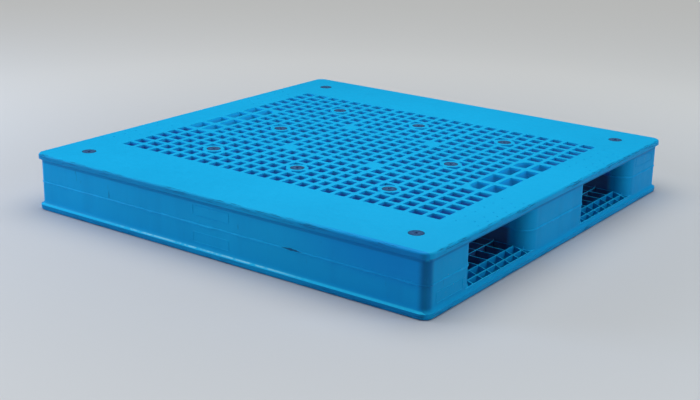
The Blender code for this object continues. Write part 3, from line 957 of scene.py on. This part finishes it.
def tint_nick(g, base):
    """One dark nick in the seam of the front side."""
    along = g.fade(g.size(g.minus(g.x, NICK_MIDDLE)), (NICK_HALF, 0.0))
    torn = g.times(along, NICK_WIDTH, g.pattern(*TEAR, TEAR_SHARES))
    offset = g.size(g.minus(g.z, HALF_HEIGHT + NICK_RAISED))
    return g.tint(base, SCUFF, g.math("LESS_THAN", offset, torn), g.front, share=0.85)


def blue_plastic(name, dark, light):
    """Satin moulded polyethylene: faint clouding and grain, scuffed along the lips, with painted light and
    shade in the holes, on the walls and on the lips.
    """
    g = PalletGraph(name)
    cloud, mottle = g.pattern(*CLOUD), g.pattern(*MOTTLE)
    base = g.mix(cloud, dark, light)
    base = g.tint(base, BLUE_PALE, mottle, share=0.2)
    base = tint_inside(g, base)
    base = tint_walls(g, base)
    base = g.tint(base, BLUE_PALE, g.pattern(*DRAG), share=0.10)
    scuff, glint_line = scuff_mask(g), glint_line_mask(g)
    base = g.tint(base, SCUFF, scuff, share=0.7)
    base = tint_lips(g, base)
    # Painted highlight line along the lower lip
    base = g.tint(base, GLINT, glint_line, share=0.75)
    base = tint_specks(g, base)
    base = tint_nick(g, base)
    g.put(base, g.shader.inputs["Base Color"])

    rough = g.fade(mottle, (0.0, 1.0), PLASTIC_ROUGHNESS)
    rough = g.math("ADD", rough, g.times(scuff, SCUFF_ROUGHNESS))
    g.put(g.minus(rough, g.times(glint_line, GLINT_POLISH)), g.shader.inputs["Roughness"])
    grain = g.bump(g.noise(*PLASTIC_GRAIN), strength=0.10, distance=0.0003)
    dents = g.bump(g.minus(cloud, scuff), strength=0.25, distance=0.0008, normal=grain)
    g.put(dents, g.shader.inputs["Normal"])
    g.shader.inputs["Specular IOR Level"].default_value = PLASTIC_SPECULAR
    return g.material


def grip_rubber():
    """Speckled dark rubber, darker and smoother round the rim, with painted shade in and round the small
    hollow.
    """
    g = Graph("grip_rubber")
    local = g.nodes.new("ShaderNodeTexCoord").outputs["Object"]
    x, y, _ = g.axes(local)
    radius = g.math("SQRT", g.math("ADD", g.times(x, x), g.times(y, y)))
    rim, hollow = g.fade(radius, RUBBER_RIM), g.fade(radius, RUBBER_HOLLOW_SHADE)
    base = g.mix(g.pattern(*RUBBER_SPECKS), RUBBER_DARK, RUBBER_LIGHT)
    base = g.tint(base, RUBBER_MID, g.pattern(*RUBBER_TONE), share=0.35)
    # Darker round the rim; painted shade in and round the small hollow
    base = g.tint(base, RUBBER_DARK, g.math("MAXIMUM", rim, hollow), share=0.85)
    g.put(base, g.shader.inputs["Base Color"])
    g.put(g.fade(rim, (0.0, 1.0), RUBBER_ROUGHNESS), g.shader.inputs["Roughness"])
    g.put(g.bump(g.noise(*RUBBER_GRAIN), strength=0.4, distance=0.0004), g.shader.inputs["Normal"])
    g.shader.inputs["Specular IOR Level"].default_value = RUBBER_SPECULAR
    return g.material


def place_copy(mesh_source, name, location, turn, node):
    """One piece of the pallet that stands for a CAD node."""
    item = mesh_source.copy()
    item.name = name
    item.location = location
    item.rotation_euler = (turn, 0.0, 0.0)
    bpy.context.scene.collection.objects.link(item)
    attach(item, "root")
    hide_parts(node)


def add_weld_beads(material):
    """A bead round each stringer. In the CAD the seam is bare, so they stand for no node."""
    outer = CORNER_RADIUS - LIP_OVERHANG
    spans = ((-TUNNEL_INNER, TUNNEL_INNER, [STRINGER_RADIUS] * 4),
             (TUNNEL_OUTER, WALL, [STRINGER_RADIUS, STRINGER_RADIUS, outer, outer]),
             (-WALL, -TUNNEL_OUTER, [outer, outer, STRINGER_RADIUS, STRINGER_RADIUS]))
    for name, (y0, y1, radii) in zip(("middle", "back", "front"), spans):
        bead = weld_bead(y0, y1, radii)
        bead.name = name + "_weld_bead"
        bead.location = (0, 0, HALF_HEIGHT)
        bead.data.materials.append(material)
        bead.data.shade_smooth()
        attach(bead, "root")


def build_pallet():
    """Both halves and their plugs, as turned copies of one half and one plug, and the beads."""
    blue = blue_plastic("blue_polyethylene", BLUE_DARK, BLUE_LIGHT)
    # Painted light: a lighter copy of the blue plastic for the weld beads
    melted = blue_plastic("lit_bead_polyethylene", LIT_BEAD_DARK, LIT_BEAD_LIGHT)
    rubber = grip_rubber()
    moulding, plug = half_moulding(), plug_body()
    for item, material in ((moulding, blue), (plug, rubber)):
        item.data.materials.clear()
        item.data.materials.append(material)
        finish_mesh(item)
    for side, turn, up in (("upper", 0.0, 1), ("lower", math.pi, -1)):
        place_copy(moulding, side + "_half", (0, 0, HALF_HEIGHT), turn, side + "_moulding")
        for number, (x, y) in enumerate(plug_places(), 1):
            place_copy(plug, f"{side}_plug_{number:02d}", (x, up * y, HALF_HEIGHT + up * HALF_HEIGHT), turn,
                       f"{side}_grip_plug_{number:02d}")
    add_weld_beads(melted)
    for item in (moulding, plug):
        bpy.data.objects.remove(item, do_unlink=True)


def add_floor():
    """Pale floor with painted shade: darker under and round the pallet."""
    bm = bmesh.new()
    bmesh.ops.create_grid(bm, x_segments=1, y_segments=1, size=FLOOR_SIZE / 2)
    floor = mesh_object("floor", bm)
    g = Graph("pale_floor")
    node = g.nodes.new("ShaderNodeVectorMath")
    node.operation = "LENGTH"
    g.put(g.place, node.inputs[0])
    far = g.fade(node.outputs["Value"], (FLOOR_NEAR, FLOOR_FAR))
    g.put(g.mix(far, FLOOR_SHADE_COLOUR, FLOOR_PALE), g.shader.inputs["Base Color"])
    g.shader.inputs["Roughness"].default_value = FLOOR_ROUGHNESS
    g.shader.inputs["Specular IOR Level"].default_value = FLOOR_SPECULAR
    floor.data.materials.append(g.material)
    floor.location.z = -FLOOR_SUNK


def add_world():
    """Soft light from overhead that fades towards the horizon."""
    world = bpy.data.worlds.new("studio")
    world.use_nodes = True
    nodes, links = world.node_tree.nodes, world.node_tree.links
    background = nodes["Background"]
    split = nodes.new("ShaderNodeSeparateXYZ")
    links.new(nodes.new("ShaderNodeTexCoord").outputs["Generated"], split.inputs[0])
    fade = nodes.new("ShaderNodeMapRange")
    fade.interpolation_type = "SMOOTHSTEP"
    links.new(split.outputs["Z"], fade.inputs["Value"])
    for name, value in zip(RANGE_SOCKETS, (SKY_LOW, SKY_HIGH, HORIZON, ZENITH)):
        fade.inputs[name].default_value = value
    background.inputs["Color"].default_value = (*SKY_COLOUR, 1.0)
    links.new(fade.outputs["Result"], background.inputs["Strength"])
    bpy.context.scene.world = world


def add_softbox(name, place, target, size, power, colour):
    """Rectangular lamp that faces its target."""
    light = bpy.data.lights.new(name, "AREA")
    light.shape = "RECTANGLE"
    light.size, light.size_y = size
    light.energy = power
    light.color = colour
    item = bpy.data.objects.new(name, light)
    item.location = place
    item.rotation_euler = (Vector(target) - Vector(place)).to_track_quat("-Z", "Y").to_euler()
    bpy.context.scene.collection.objects.link(item)


def add_camera():
    """Camera placed by its forward and right directions, which are squared up first."""
    camera = bpy.data.cameras.new("camera")
    camera.sensor_width = CAMERA_SENSOR
    camera.lens = CAMERA_LENS
    camera.shift_x = CAMERA_SHIFT
    item = bpy.data.objects.new("camera", camera)
    forward = Vector(CAMERA_FORWARD).normalized()
    right = Vector(CAMERA_RIGHT)
    right = (right - forward * right.dot(forward)).normalized()
    up = right.cross(forward)
    item.matrix_world = Matrix((
        (right.x, up.x, -forward.x, CAMERA_PLACE[0]),
        (right.y, up.y, -forward.y, CAMERA_PLACE[1]),
        (right.z, up.z, -forward.z, CAMERA_PLACE[2]),
        (0, 0, 0, 1)))
    bpy.context.scene.collection.objects.link(item)
    bpy.context.scene.camera = item


build_pallet()
add_floor()
add_world()
for softbox in SOFTBOXES:
    add_softbox(*softbox)
add_camera()
bpy.context.scene.view_settings.view_transform = "Standard"
